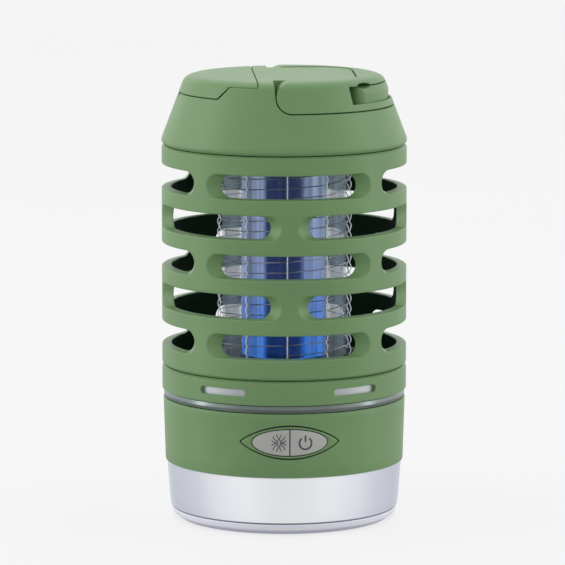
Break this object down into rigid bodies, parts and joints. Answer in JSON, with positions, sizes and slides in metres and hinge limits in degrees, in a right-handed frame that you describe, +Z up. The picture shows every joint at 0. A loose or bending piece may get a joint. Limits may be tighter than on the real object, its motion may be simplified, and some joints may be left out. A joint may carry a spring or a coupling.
{
  "type": "electric bug zapper",
  "caption": "Cylindrical camping bug zapper: slotted guard round a wire grid and UV lamp, folding bail handle, charging-port cover, push buttons and a diffused lamp foot.",
  "frame": {"origin": "centre of the resting face, under the foot plate", "axes": "+Z up along the body's axis, -Y towards the buttons (front), +X towards the folding handle's loop"},
  "size_m": [0.0882, 0.0882, 0.1607],
  "materials": {
    "green_plastic": "satin moulded sage green plastic with a very fine grain",
    "button_plastic": "satin warm grey plastic",
    "dark_plastic": "matt charcoal plastic",
    "white_plastic": "smooth white plastic",
    "diffuser_plastic": "frosted translucent white plastic",
    "clear_plastic": "clear polished plastic",
    "uv_lens": "blue-violet translucent lamp tube",
    "trim_silver": "satin silver",
    "steel": "bright drawn steel",
    "brass": "plain brass",
    "circuit_board": "green solder mask",
    "lamp_led": "yellow phosphor",
    "uv_led": "lit ultraviolet-blue emitter",
    "cell_wrap": "shrink-wrapped cell sleeve"
  },
  "bodies": {
    "body": {"cap_shell": "green_plastic", "guard_cage": "green_plastic", "base_collar": "green_plastic", "base_shell": "green_plastic", "button_bezel": "green_plastic", "cap_floor": "dark_plastic", "grid_lower_plate": "dark_plastic", "grid_upper_plate": "dark_plastic", "tact_switch_mode": "dark_plastic", "tact_switch_power": "dark_plastic", "battery_holder": "dark_plastic", "hv_transformer": "dark_plastic", "riser_lead": "dark_plastic", "lamp_reflector": "white_plastic", "lamp_board": "white_plastic", "lamp_diffuser": "diffuser_plastic", "foot_plate": "diffuser_plastic", "grid_former": "clear_plastic", "lamp_sleeve": "clear_plastic", "uv_column": "uv_lens", "trim_ring": "trim_silver", "vent_liner": "trim_silver", "handle_pin_front": "steel", "handle_pin_rear": "steel", "usb_socket": "steel", "grid_wire_live": "steel", "grid_wire_return": "steel", "cap_screw_1": "steel", "cap_screw_2": "steel", "cap_screw_3": "steel", "foot_screw_1": "steel", "foot_screw_2": "steel", "foot_screw_3": "steel", "grid_terminal_live": "brass", "grid_terminal_return": "brass", "hv_capacitor": "brass", "charge_board": "circuit_board", "uv_led_board": "circuit_board", "switch_board": "circuit_board", "main_board": "circuit_board", "lamp_led_1": "lamp_led", "lamp_led_2": "lamp_led", "lamp_led_3": "lamp_led", "lamp_led_4": "lamp_led", "lamp_led_5": "lamp_led", "lamp_led_6": "lamp_led", "uv_led_1": "uv_led", "uv_led_2": "uv_led", "uv_led_3": "uv_led", "uv_led_4": "uv_led", "uv_led_5": "uv_led", "uv_led_6": "uv_led", "battery_cell": "cell_wrap"},
    "handle": {"handle": "green_plastic"},
    "port_cover": {"port_cover": "green_plastic"},
    "button_mode": {"button_mode": "button_plastic"},
    "button_power": {"button_power": "button_plastic"}
  },
  "joints": [
    {"name": "handle_fold", "type": "hinge", "parent": "body", "child": "handle", "pos_m": [0.001, 0, 0.1553], "axis": [0, -1, 0], "range_deg": [0, 90]},
    {"name": "port_cover_hinge", "type": "hinge", "parent": "body", "child": "port_cover", "pos_m": [-0.0109, 0, 0.1604], "axis": [0, 1, 0], "range_deg": [0, 95]},
    {"name": "button_mode_press", "type": "slide", "parent": "body", "child": "button_mode", "axis": [0, 1, 0], "range_m": [0, 0.0008], "stiffness_N_per_m": 1500},
    {"name": "button_power_press", "type": "slide", "parent": "body", "child": "button_power", "axis": [0, 1, 0], "range_m": [0, 0.0008], "stiffness_N_per_m": 1500}
  ]
}
